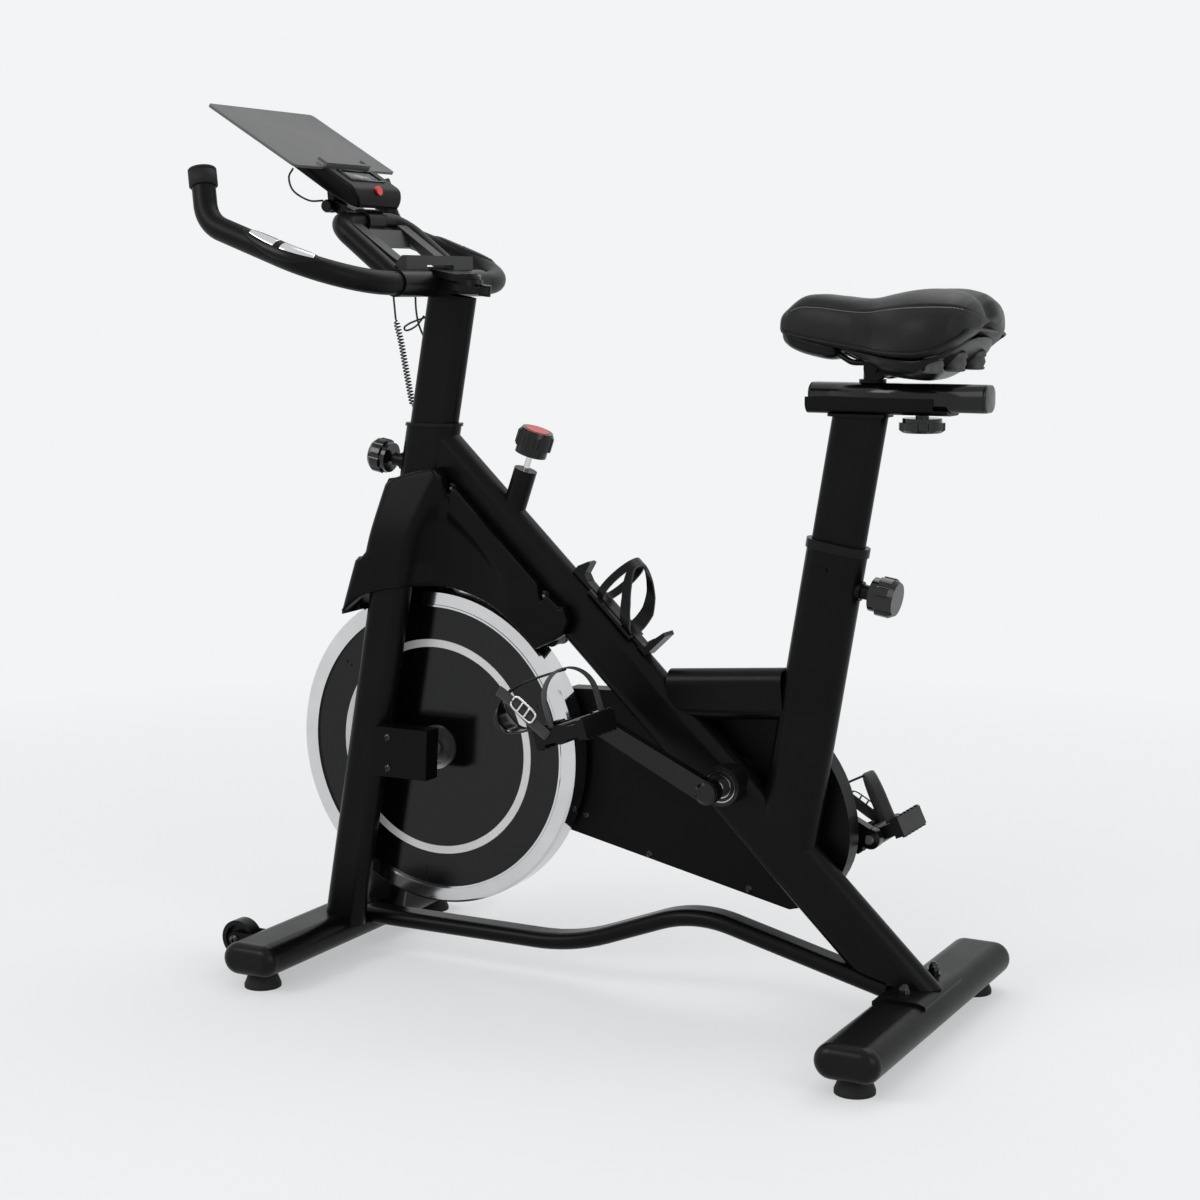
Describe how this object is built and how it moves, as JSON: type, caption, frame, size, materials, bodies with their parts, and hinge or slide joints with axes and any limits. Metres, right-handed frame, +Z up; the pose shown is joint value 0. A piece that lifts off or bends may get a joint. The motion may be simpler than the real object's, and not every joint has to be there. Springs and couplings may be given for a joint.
{
  "type": "exercise bike",
  "caption": "Upright indoor exercise bike with a belt-driven flywheel, adjustable saddle and handlebar, toe-clip pedals, bottle cage and console with a media rest.",
  "frame": {"origin": "centre of the bounding box on the floor", "axes": "+X to the back of the bike, +Y to the rider's right, +Z up"},
  "size_m": [1.0208, 0.484, 1.1341],
  "materials": {
    "front_stabiliser": "satin, fine texture",
    "rear_stabiliser": "satin, fine texture",
    "stabiliser_caps": "satin",
    "rubber_feet": "matte",
    "base_plate": "satin, fine texture",
    "frame_screws": "plated",
    "wheel_brackets": "satin",
    "transport_wheel_left": "satin",
    "transport_wheel_right": "satin",
    "head_tube": "satin, fine texture",
    "main_tube": "satin, fine texture",
    "seat_tube": "satin, fine texture",
    "cross_tube": "satin, fine texture",
    "bottom_brace": "satin, fine texture",
    "fork": "satin, fine texture",
    "crank_shell": "satin, fine texture",
    "frame_bosses": "satin, fine texture",
    "post_collars": "satin",
    "flywheel_rim": "polished",
    "flywheel_hub": "turned",
    "flywheel_covers": "gloss",
    "flywheel_axle": "plated",
    "axle_covers": "satin",
    "crank_arms": "gloss",
    "crank_spindles": "polished",
    "crank_pulley": "satin",
    "drive_belt": "matte",
    "pedal_left": "satin",
    "pedal_right": "satin",
    "toe_clip_left": "gloss",
    "toe_clip_right": "gloss",
    "toe_strap_left": "woven",
    "toe_strap_right": "woven",
    "guard_inner": "satin",
    "guard_outer": "satin",
    "front_cover": "satin",
    "bottle_cage": "satin",
    "brake_arm": "satin",
    "brake_rod": "polished",
    "brake_knob": "gloss",
    "head_knob": "gloss",
    "seat_knob": "gloss",
    "seat_post": "satin",
    "slider_channel": "satin",
    "slider_tube": "satin",
    "slider_knob": "gloss",
    "saddle_clamp": "satin",
    "saddle_cushion": "smooth",
    "saddle_pan": "satin",
    "handlebar_post": "satin",
    "bar_clamp": "satin",
    "handlebar": "soft satin",
    "bar_fittings": "satin",
    "clamp_lever": "satin",
    "handlebar_tray": "satin",
    "console_bracket": "satin",
    "console": "satin",
    "media_panel": "satin",
    "red_button": "gloss",
    "console_leads": "satin"
  },
  "bodies": {
    "frame": {"front_stabiliser": "front_stabiliser", "rear_stabiliser": "rear_stabiliser", "stabiliser_caps": "stabiliser_caps", "rubber_feet": "rubber_feet", "base_plate": "base_plate", "frame_screws": "frame_screws", "wheel_brackets": "wheel_brackets", "head_tube": "head_tube", "main_tube": "main_tube", "seat_tube": "seat_tube", "cross_tube": "cross_tube", "bottom_brace": "bottom_brace", "fork": "fork", "crank_shell": "crank_shell", "frame_bosses": "frame_bosses", "post_collars": "post_collars", "flywheel_axle": "flywheel_axle", "axle_covers": "axle_covers", "guard_inner": "guard_inner", "guard_outer": "guard_outer", "front_cover": "front_cover", "bottle_cage": "bottle_cage", "drive_belt": "drive_belt"},
    "flywheel": {"flywheel_rim": "flywheel_rim", "flywheel_hub": "flywheel_hub", "flywheel_covers": "flywheel_covers"},
    "cranks": {"crank_arms": "crank_arms", "crank_spindles": "crank_spindles", "crank_pulley": "crank_pulley"},
    "left_pedal": {"pedal_left": "pedal_left", "toe_clip_left": "toe_clip_left", "toe_strap_left": "toe_strap_left"},
    "right_pedal": {"pedal_right": "pedal_right", "toe_clip_right": "toe_clip_right", "toe_strap_right": "toe_strap_right"},
    "left_wheel": {"transport_wheel_left": "transport_wheel_left"},
    "right_wheel": {"transport_wheel_right": "transport_wheel_right"},
    "brake_plunger": {"brake_rod": "brake_rod"},
    "tension_knob": {"brake_knob": "brake_knob"},
    "brake_lever": {"brake_arm": "brake_arm"},
    "seat_pillar": {"seat_post": "seat_post", "slider_channel": "slider_channel"},
    "saddle": {"slider_tube": "slider_tube", "saddle_clamp": "saddle_clamp", "saddle_cushion": "saddle_cushion", "saddle_pan": "saddle_pan"},
    "seat_screw": {"seat_knob": "seat_knob"},
    "head_screw": {"head_knob": "head_knob"},
    "slide_screw": {"slider_knob": "slider_knob"},
    "handlebar_assembly": {"handlebar_post": "handlebar_post", "bar_clamp": "bar_clamp", "handlebar": "handlebar", "bar_fittings": "bar_fittings", "handlebar_tray": "handlebar_tray", "console_bracket": "console_bracket", "console_leads": "console_leads"},
    "lock_lever": {"clamp_lever": "clamp_lever"},
    "console_unit": {"console": "console", "media_panel": "media_panel"},
    "mode_button": {"red_button": "red_button"}
  },
  "joints": [
    {"name": "flywheel_spin", "type": "hinge", "parent": "frame", "child": "flywheel", "pos_m": [-0.23411, 0, 0.296], "axis": [0, 1, 0], "continuous": true},
    {"name": "crank_spin", "type": "hinge", "parent": "frame", "child": "cranks", "pos_m": [0.19239, 0, 0.293], "axis": [0, 1, 0], "continuous": true},
    {"name": "left_pedal_spin", "type": "hinge", "parent": "cranks", "child": "left_pedal", "pos_m": [0.03883, -0.13, 0.36592], "axis": [0, 1, 0], "continuous": true},
    {"name": "right_pedal_spin", "type": "hinge", "parent": "cranks", "child": "right_pedal", "pos_m": [0.34596, 0.13, 0.22008], "axis": [0, 1, 0], "continuous": true},
    {"name": "left_wheel_spin", "type": "hinge", "parent": "frame", "child": "left_wheel", "pos_m": [-0.45161, -0.158, 0.043], "axis": [0, 1, 0], "continuous": true},
    {"name": "right_wheel_spin", "type": "hinge", "parent": "frame", "child": "right_wheel", "pos_m": [-0.45161, 0.158, 0.043], "axis": [0, 1, 0], "continuous": true},
    {"name": "brake_press", "type": "slide", "parent": "frame", "child": "brake_plunger", "axis": [-0.3299, 0, -0.944], "range_m": [0, 0.004], "stiffness_N_per_m": 3000},
    {"name": "tension_turn", "type": "hinge", "parent": "brake_plunger", "child": "tension_knob", "pos_m": [-0.09225, 0, 0.70193], "axis": [0.3299, 0, 0.944], "range_deg": [0, 720]},
    {"name": "brake_lever_turn", "type": "hinge", "parent": "frame", "child": "brake_lever", "pos_m": [-0.05947, 0, 0.45325], "axis": [0, -1, 0], "range_deg": [0, 2.2]},
    {"name": "seat_height", "type": "slide", "parent": "frame", "child": "seat_pillar", "axis": [0.1633, 0, 0.9866], "range_m": [-0.12, 0.09]},
    {"name": "saddle_slide", "type": "slide", "parent": "seat_pillar", "child": "saddle", "axis": [1, 0, 0], "range_m": [-0.045, 0.045]},
    {"name": "seat_screw_turn", "type": "hinge", "parent": "frame", "child": "seat_screw", "pos_m": [0.31818, 0, 0.54656], "axis": [0.9866, 0, -0.1633], "range_deg": [0, 360]},
    {"name": "head_screw_turn", "type": "hinge", "parent": "frame", "child": "head_screw", "pos_m": [-0.25166, 0, 0.66552], "axis": [-0.9845, 0, 0.1754], "range_deg": [0, 360]},
    {"name": "slide_screw_turn", "type": "hinge", "parent": "seat_pillar", "child": "slide_screw", "pos_m": [0.42839, 0, 0.74], "axis": [0, 0, -1], "range_deg": [0, 360]},
    {"name": "handlebar_height", "type": "slide", "parent": "frame", "child": "handlebar_assembly", "axis": [0.1754, 0, 0.9845], "range_m": [-0.015, 0.05]},
    {"name": "lock_lever_turn", "type": "hinge", "parent": "handlebar_assembly", "child": "lock_lever", "pos_m": [-0.16435, 0, 0.88766], "axis": [0.1754, 0, 0.9845], "range_deg": [0, 80]},
    {"name": "console_tilt", "type": "hinge", "parent": "handlebar_assembly", "child": "console_unit", "pos_m": [-0.38661, 0, 1.004], "axis": [0, 1, 0], "range_deg": [-20, 0]},
    {"name": "button_press", "type": "slide", "parent": "console_unit", "child": "mode_button", "axis": [-0.9781, 0, -0.2079], "range_m": [0, 0.0015], "stiffness_N_per_m": 900}
  ],
  "couplings": [
    {"joint": "crank_spin", "follows": "flywheel_spin", "ratio": 0.33333},
    {"joint": "brake_lever_turn", "follows": "brake_press", "rad_per_m": 8.8506}
  ]
}
